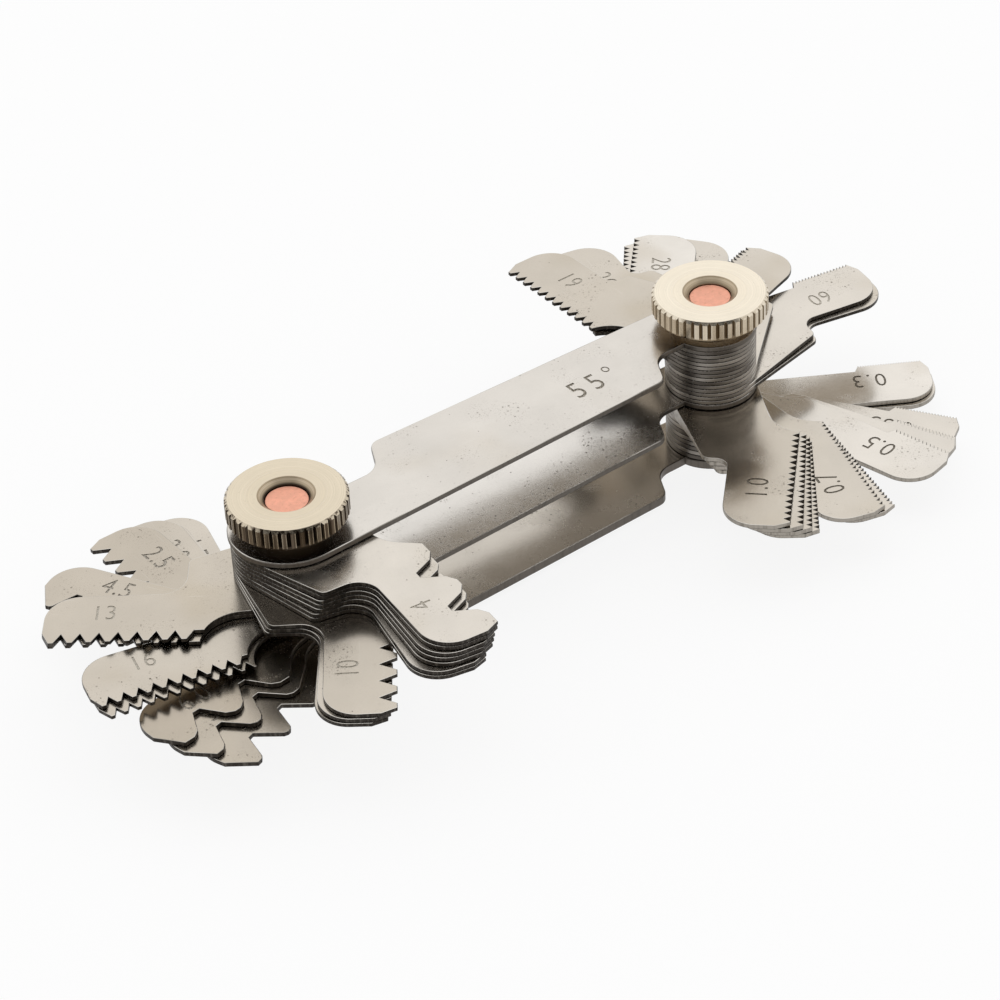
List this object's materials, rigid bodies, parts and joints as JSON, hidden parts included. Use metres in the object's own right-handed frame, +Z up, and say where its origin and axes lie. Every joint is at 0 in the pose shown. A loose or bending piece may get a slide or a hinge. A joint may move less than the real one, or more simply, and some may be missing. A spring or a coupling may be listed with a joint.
{
  "type": "screw thread pitch gauge",
  "caption": "Screw thread pitch gauge: thin toothed steel blades in an upper and a lower tier, fanned out from knurled thumb-nut studs between long body plates.",
  "frame": {"origin": "centre of the coarse stud's lower head, on the surface the gauge rests on", "axes": "+X from the coarse stud to the fine stud, +Z up along the studs, +Y towards the fine Whitworth blades"},
  "size_m": [0.1101, 0.0537, 0.0215],
  "materials": {
    "blade_steel": "satin rolled steel",
    "plate_steel": "satin rolled steel",
    "nickel": "turned and nickel plated",
    "copper": "matte copper"
  },
  "bodies": {
    "frame": {"base_plate": "plate_steel", "middle_plate": "plate_steel", "top_plate": "plate_steel", "pivot_studs": "copper"},
    "coarse_nut": {"coarse_thumb_nut": "nickel"},
    "fine_nut": {"fine_thumb_nut": "nickel"},
    "whitworth_4": {"whitworth_blade_4": "blade_steel"},
    "whitworth_4_5": {"whitworth_blade_4_5": "blade_steel"},
    "whitworth_5": {"whitworth_blade_5": "blade_steel"},
    "whitworth_6": {"whitworth_blade_6": "blade_steel"},
    "whitworth_7": {"whitworth_blade_7": "blade_steel"},
    "whitworth_8": {"whitworth_blade_8": "blade_steel"},
    "whitworth_9": {"whitworth_blade_9": "blade_steel"},
    "whitworth_10": {"whitworth_blade_10": "blade_steel"},
    "whitworth_11": {"whitworth_blade_11": "blade_steel"},
    "whitworth_12": {"whitworth_blade_12": "blade_steel"},
    "whitworth_13": {"whitworth_blade_13": "blade_steel"},
    "whitworth_14": {"whitworth_blade_14": "blade_steel"},
    "whitworth_16": {"whitworth_blade_16": "blade_steel"},
    "whitworth_18": {"whitworth_blade_18": "blade_steel"},
    "whitworth_19": {"whitworth_blade_19": "blade_steel"},
    "whitworth_20": {"whitworth_blade_20": "blade_steel"},
    "whitworth_22": {"whitworth_blade_22": "blade_steel"},
    "whitworth_24": {"whitworth_blade_24": "blade_steel"},
    "whitworth_25": {"whitworth_blade_25": "blade_steel"},
    "whitworth_26": {"whitworth_blade_26": "blade_steel"},
    "whitworth_28": {"whitworth_blade_28": "blade_steel"},
    "whitworth_30": {"whitworth_blade_30": "blade_steel"},
    "whitworth_32": {"whitworth_blade_32": "blade_steel"},
    "whitworth_36": {"whitworth_blade_36": "blade_steel"},
    "whitworth_40": {"whitworth_blade_40": "blade_steel"},
    "whitworth_48": {"whitworth_blade_48": "blade_steel"},
    "whitworth_60": {"whitworth_blade_60": "blade_steel"},
    "whitworth_62": {"whitworth_blade_62": "blade_steel"},
    "metric_6": {"metric_blade_6": "blade_steel"},
    "metric_5_5": {"metric_blade_5_5": "blade_steel"},
    "metric_5": {"metric_blade_5": "blade_steel"},
    "metric_4_5": {"metric_blade_4_5": "blade_steel"},
    "metric_4": {"metric_blade_4": "blade_steel"},
    "metric_3_5": {"metric_blade_3_5": "blade_steel"},
    "metric_3": {"metric_blade_3": "blade_steel"},
    "metric_2_5": {"metric_blade_2_5": "blade_steel"},
    "metric_2": {"metric_blade_2": "blade_steel"},
    "metric_1_75": {"metric_blade_1_75": "blade_steel"},
    "metric_1_5": {"metric_blade_1_5": "blade_steel"},
    "metric_1_25": {"metric_blade_1_25": "blade_steel"},
    "metric_1": {"metric_blade_1": "blade_steel"},
    "metric_0_9": {"metric_blade_0_9": "blade_steel"},
    "metric_0_8": {"metric_blade_0_8": "blade_steel"},
    "metric_0_75": {"metric_blade_0_75": "blade_steel"},
    "metric_0_7": {"metric_blade_0_7": "blade_steel"},
    "metric_0_6": {"metric_blade_0_6": "blade_steel"},
    "metric_0_5": {"metric_blade_0_5": "blade_steel"},
    "metric_0_45": {"metric_blade_0_45": "blade_steel"},
    "metric_0_4": {"metric_blade_0_4": "blade_steel"},
    "metric_0_35": {"metric_blade_0_35": "blade_steel"},
    "metric_0_3": {"metric_blade_0_3": "blade_steel"},
    "metric_0_25": {"metric_blade_0_25": "blade_steel"}
  },
  "joints": [
    {"name": "whitworth_4_swing", "type": "hinge", "parent": "frame", "child": "whitworth_4", "pos_m": [0, 0, 0.01656], "axis": [0, 0, 1], "continuous": true},
    {"name": "whitworth_4_5_swing", "type": "hinge", "parent": "frame", "child": "whitworth_4_5", "pos_m": [0, 0, 0.01605], "axis": [0, 0, 1], "continuous": true},
    {"name": "whitworth_5_swing", "type": "hinge", "parent": "frame", "child": "whitworth_5", "pos_m": [0, 0, 0.01554], "axis": [0, 0, 1], "continuous": true},
    {"name": "whitworth_6_swing", "type": "hinge", "parent": "frame", "child": "whitworth_6", "pos_m": [0, 0, 0.01503], "axis": [0, 0, 1], "continuous": true},
    {"name": "whitworth_7_swing", "type": "hinge", "parent": "frame", "child": "whitworth_7", "pos_m": [0, 0, 0.01452], "axis": [0, 0, 1], "continuous": true},
    {"name": "whitworth_8_swing", "type": "hinge", "parent": "frame", "child": "whitworth_8", "pos_m": [0, 0, 0.01401], "axis": [0, 0, 1], "continuous": true},
    {"name": "whitworth_9_swing", "type": "hinge", "parent": "frame", "child": "whitworth_9", "pos_m": [0, 0, 0.0135], "axis": [0, 0, 1], "continuous": true},
    {"name": "whitworth_10_swing", "type": "hinge", "parent": "frame", "child": "whitworth_10", "pos_m": [0, 0, 0.01299], "axis": [0, 0, 1], "continuous": true},
    {"name": "whitworth_11_swing", "type": "hinge", "parent": "frame", "child": "whitworth_11", "pos_m": [0, 0, 0.01248], "axis": [0, 0, 1], "continuous": true},
    {"name": "whitworth_12_swing", "type": "hinge", "parent": "frame", "child": "whitworth_12", "pos_m": [0, 0, 0.01197], "axis": [0, 0, 1], "continuous": true},
    {"name": "whitworth_13_swing", "type": "hinge", "parent": "frame", "child": "whitworth_13", "pos_m": [0, 0, 0.01146], "axis": [0, 0, 1], "continuous": true},
    {"name": "whitworth_14_swing", "type": "hinge", "parent": "frame", "child": "whitworth_14", "pos_m": [0, 0, 0.01095], "axis": [0, 0, 1], "continuous": true},
    {"name": "whitworth_16_swing", "type": "hinge", "parent": "frame", "child": "whitworth_16", "pos_m": [0, 0, 0.01044], "axis": [0, 0, 1], "continuous": true},
    {"name": "whitworth_18_swing", "type": "hinge", "parent": "frame", "child": "whitworth_18", "pos_m": [0, 0, 0.00993], "axis": [0, 0, 1], "continuous": true},
    {"name": "whitworth_19_swing", "type": "hinge", "parent": "frame", "child": "whitworth_19", "pos_m": [0.0566, 0, 0.01656], "axis": [0, 0, 1], "continuous": true},
    {"name": "whitworth_20_swing", "type": "hinge", "parent": "frame", "child": "whitworth_20", "pos_m": [0.0566, 0, 0.01605], "axis": [0, 0, 1], "continuous": true},
    {"name": "whitworth_22_swing", "type": "hinge", "parent": "frame", "child": "whitworth_22", "pos_m": [0.0566, 0, 0.01554], "axis": [0, 0, 1], "continuous": true},
    {"name": "whitworth_24_swing", "type": "hinge", "parent": "frame", "child": "whitworth_24", "pos_m": [0.0566, 0, 0.01503], "axis": [0, 0, 1], "continuous": true},
    {"name": "whitworth_25_swing", "type": "hinge", "parent": "frame", "child": "whitworth_25", "pos_m": [0.0566, 0, 0.01452], "axis": [0, 0, 1], "continuous": true},
    {"name": "whitworth_26_swing", "type": "hinge", "parent": "frame", "child": "whitworth_26", "pos_m": [0.0566, 0, 0.01401], "axis": [0, 0, 1], "continuous": true},
    {"name": "whitworth_28_swing", "type": "hinge", "parent": "frame", "child": "whitworth_28", "pos_m": [0.0566, 0, 0.0135], "axis": [0, 0, 1], "continuous": true},
    {"name": "whitworth_30_swing", "type": "hinge", "parent": "frame", "child": "whitworth_30", "pos_m": [0.0566, 0, 0.01299], "axis": [0, 0, 1], "continuous": true},
    {"name": "whitworth_32_swing", "type": "hinge", "parent": "frame", "child": "whitworth_32", "pos_m": [0.0566, 0, 0.01248], "axis": [0, 0, 1], "continuous": true},
    {"name": "whitworth_36_swing", "type": "hinge", "parent": "frame", "child": "whitworth_36", "pos_m": [0.0566, 0, 0.01197], "axis": [0, 0, 1], "continuous": true},
    {"name": "whitworth_40_swing", "type": "hinge", "parent": "frame", "child": "whitworth_40", "pos_m": [0.0566, 0, 0.01146], "axis": [0, 0, 1], "continuous": true},
    {"name": "whitworth_48_swing", "type": "hinge", "parent": "frame", "child": "whitworth_48", "pos_m": [0.0566, 0, 0.01095], "axis": [0, 0, 1], "continuous": true},
    {"name": "whitworth_60_swing", "type": "hinge", "parent": "frame", "child": "whitworth_60", "pos_m": [0.0566, 0, 0.01044], "axis": [0, 0, 1], "continuous": true},
    {"name": "whitworth_62_swing", "type": "hinge", "parent": "frame", "child": "whitworth_62", "pos_m": [0.0566, 0, 0.00993], "axis": [0, 0, 1], "continuous": true},
    {"name": "metric_6_swing", "type": "hinge", "parent": "frame", "child": "metric_6", "pos_m": [0, 0, 0.00869], "axis": [0, 0, 1], "continuous": true},
    {"name": "metric_5_5_swing", "type": "hinge", "parent": "frame", "child": "metric_5_5", "pos_m": [0, 0, 0.00809], "axis": [0, 0, 1], "continuous": true},
    {"name": "metric_5_swing", "type": "hinge", "parent": "frame", "child": "metric_5", "pos_m": [0, 0, 0.00751], "axis": [0, 0, 1], "continuous": true},
    {"name": "metric_4_5_swing", "type": "hinge", "parent": "frame", "child": "metric_4_5", "pos_m": [0, 0, 0.00692], "axis": [0, 0, 1], "continuous": true},
    {"name": "metric_4_swing", "type": "hinge", "parent": "frame", "child": "metric_4", "pos_m": [0, 0, 0.00632], "axis": [0, 0, 1], "continuous": true},
    {"name": "metric_3_5_swing", "type": "hinge", "parent": "frame", "child": "metric_3_5", "pos_m": [0, 0, 0.00573], "axis": [0, 0, 1], "continuous": true},
    {"name": "metric_3_swing", "type": "hinge", "parent": "frame", "child": "metric_3", "pos_m": [0, 0, 0.00515], "axis": [0, 0, 1], "continuous": true},
    {"name": "metric_2_5_swing", "type": "hinge", "parent": "frame", "child": "metric_2_5", "pos_m": [0, 0, 0.00456], "axis": [0, 0, 1], "continuous": true},
    {"name": "metric_2_swing", "type": "hinge", "parent": "frame", "child": "metric_2", "pos_m": [0, 0, 0.00396], "axis": [0, 0, 1], "continuous": true},
    {"name": "metric_1_75_swing", "type": "hinge", "parent": "frame", "child": "metric_1_75", "pos_m": [0, 0, 0.00337], "axis": [0, 0, 1], "continuous": true},
    {"name": "metric_1_5_swing", "type": "hinge", "parent": "frame", "child": "metric_1_5", "pos_m": [0, 0, 0.00279], "axis": [0, 0, 1], "continuous": true},
    {"name": "metric_1_25_swing", "type": "hinge", "parent": "frame", "child": "metric_1_25", "pos_m": [0, 0, 0.00219], "axis": [0, 0, 1], "continuous": true},
    {"name": "metric_1_swing", "type": "hinge", "parent": "frame", "child": "metric_1", "pos_m": [0.0566, 0, 0.00869], "axis": [0, 0, 1], "continuous": true},
    {"name": "metric_0_9_swing", "type": "hinge", "parent": "frame", "child": "metric_0_9", "pos_m": [0.0566, 0, 0.00809], "axis": [0, 0, 1], "continuous": true},
    {"name": "metric_0_8_swing", "type": "hinge", "parent": "frame", "child": "metric_0_8", "pos_m": [0.0566, 0, 0.00751], "axis": [0, 0, 1], "continuous": true},
    {"name": "metric_0_75_swing", "type": "hinge", "parent": "frame", "child": "metric_0_75", "pos_m": [0.0566, 0, 0.00692], "axis": [0, 0, 1], "continuous": true},
    {"name": "metric_0_7_swing", "type": "hinge", "parent": "frame", "child": "metric_0_7", "pos_m": [0.0566, 0, 0.00632], "axis": [0, 0, 1], "continuous": true},
    {"name": "metric_0_6_swing", "type": "hinge", "parent": "frame", "child": "metric_0_6", "pos_m": [0.0566, 0, 0.00573], "axis": [0, 0, 1], "continuous": true},
    {"name": "metric_0_5_swing", "type": "hinge", "parent": "frame", "child": "metric_0_5", "pos_m": [0.0566, 0, 0.00515], "axis": [0, 0, 1], "continuous": true},
    {"name": "metric_0_45_swing", "type": "hinge", "parent": "frame", "child": "metric_0_45", "pos_m": [0.0566, 0, 0.00456], "axis": [0, 0, 1], "continuous": true},
    {"name": "metric_0_4_swing", "type": "hinge", "parent": "frame", "child": "metric_0_4", "pos_m": [0.0566, 0, 0.00396], "axis": [0, 0, 1], "continuous": true},
    {"name": "metric_0_35_swing", "type": "hinge", "parent": "frame", "child": "metric_0_35", "pos_m": [0.0566, 0, 0.00337], "axis": [0, 0, 1], "continuous": true},
    {"name": "metric_0_3_swing", "type": "hinge", "parent": "frame", "child": "metric_0_3", "pos_m": [0.0566, 0, 0.00279], "axis": [0, 0, 1], "continuous": true},
    {"name": "metric_0_25_swing", "type": "hinge", "parent": "frame", "child": "metric_0_25", "pos_m": [0.0566, 0, 0.00219], "axis": [0, 0, 1], "continuous": true},
    {"name": "coarse_nut_turn", "type": "hinge", "parent": "frame", "child": "coarse_nut", "pos_m": [0, 0, 0.01997], "axis": [0, 0, 1], "continuous": true},
    {"name": "fine_nut_turn", "type": "hinge", "parent": "frame", "child": "fine_nut", "pos_m": [0.0566, 0, 0.01997], "axis": [0, 0, 1], "continuous": true}
  ]
}
